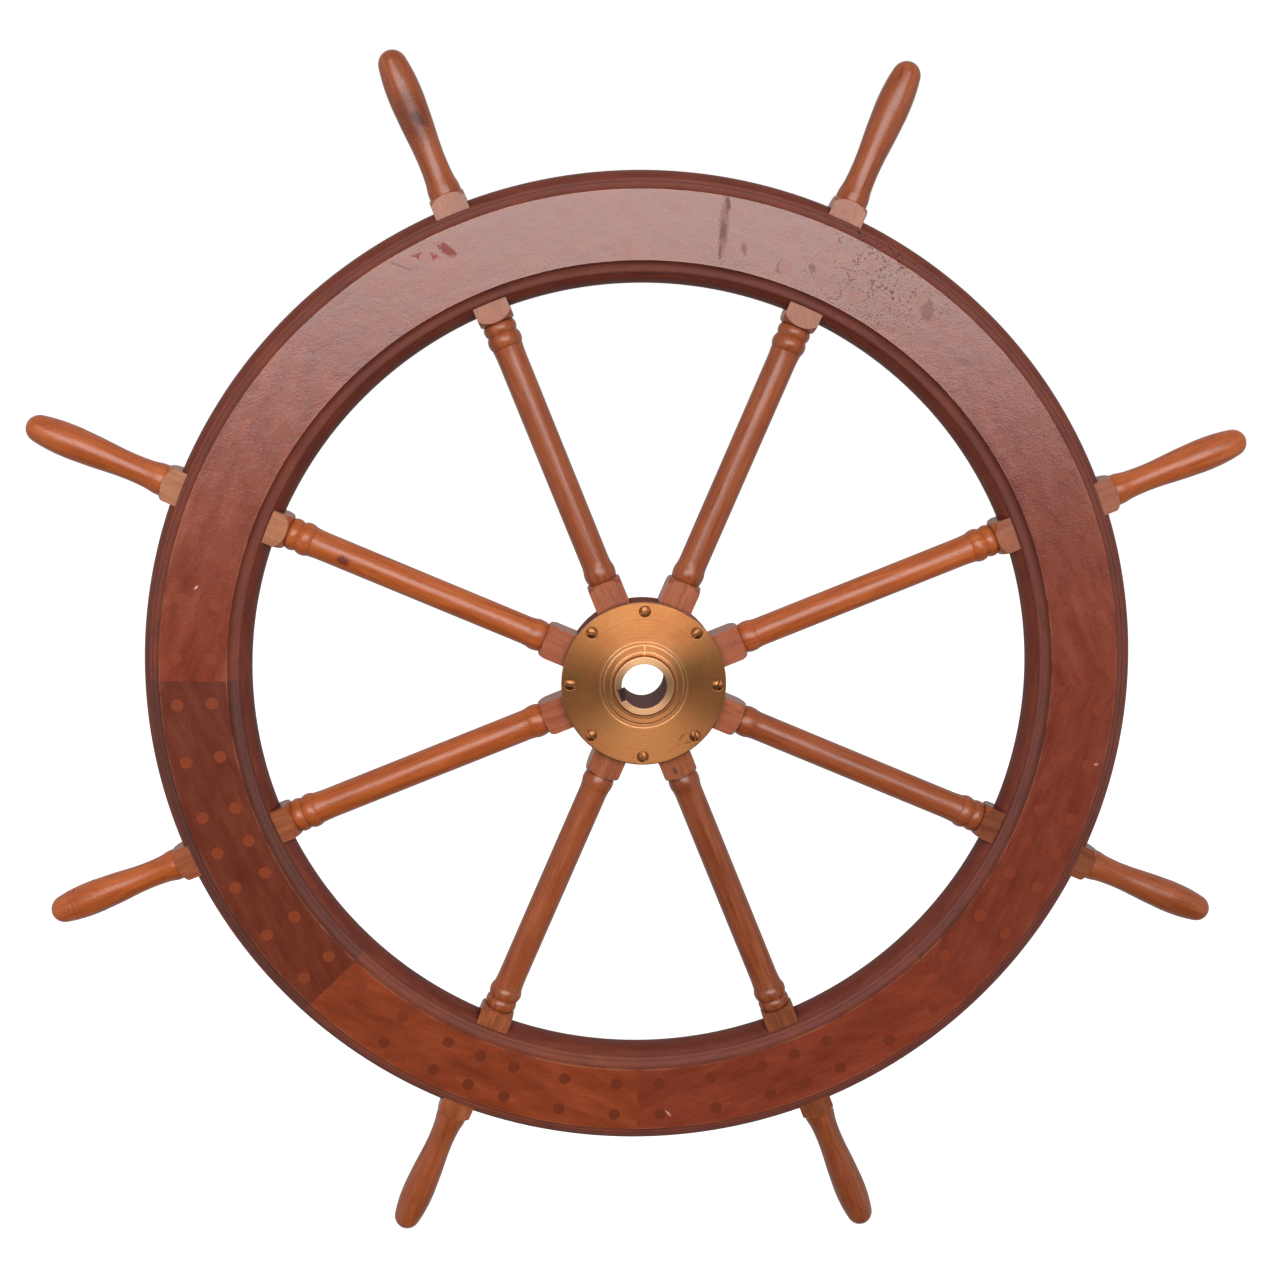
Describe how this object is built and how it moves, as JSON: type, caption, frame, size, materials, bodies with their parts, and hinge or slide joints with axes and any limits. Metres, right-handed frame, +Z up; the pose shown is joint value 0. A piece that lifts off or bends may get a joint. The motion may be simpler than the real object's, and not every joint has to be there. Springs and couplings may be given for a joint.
{
  "type": "ship steering wheel",
  "caption": "Wooden steering wheel with turned spokes and handles, built-up moulded rim and a brass hub with a keyed through bore.",
  "frame": {"origin": "the wheel's centre, on the bore's axis and in the middle of the spokes' thickness", "axes": "+Y along the bore from the front of the wheel to its back, +Z up and +X to the right seen from the front"},
  "size_m": [1.1282, 0.0622, 1.1282],
  "materials": {
    "spoke_wood": "satin varnish",
    "facing_wood": "satin varnish",
    "felloe_wood": "satin varnish",
    "nave_wood": "satin varnish",
    "plug_wood": "satin varnish",
    "hub_brass": "turned satin",
    "screw_brass": "tarnished"
  },
  "bodies": {
    "root": {"back_facing_1": "facing_wood", "back_facing_2": "facing_wood", "back_facing_3": "facing_wood", "back_facing_4": "facing_wood", "back_facing_5": "facing_wood", "back_facing_6": "facing_wood", "back_facing_7": "facing_wood", "back_facing_8": "facing_wood", "felloe_1": "felloe_wood", "felloe_2": "felloe_wood", "felloe_3": "felloe_wood", "felloe_4": "felloe_wood", "felloe_5": "felloe_wood", "felloe_6": "felloe_wood", "felloe_7": "felloe_wood", "felloe_8": "felloe_wood", "front_facing_1": "facing_wood", "front_facing_2": "facing_wood", "front_facing_3": "facing_wood", "front_facing_4": "facing_wood", "front_facing_5": "facing_wood", "front_facing_6": "facing_wood", "front_facing_7": "facing_wood", "front_facing_8": "facing_wood", "hub_back_plate": "hub_brass", "hub_flange": "hub_brass", "hub_screws_back": "screw_brass", "hub_screws_front": "screw_brass", "king_spoke": "spoke_wood", "nave_back": "nave_wood", "nave_front": "nave_wood", "rim_plugs_back": "plug_wood", "rim_plugs_front": "plug_wood", "rim_screws_back": "screw_brass", "rim_screws_front": "screw_brass", "spoke_1": "spoke_wood", "spoke_2": "spoke_wood", "spoke_3": "spoke_wood", "spoke_4": "spoke_wood", "spoke_6": "spoke_wood", "spoke_7": "spoke_wood", "spoke_8": "spoke_wood"}
  },
  "joints": []
}
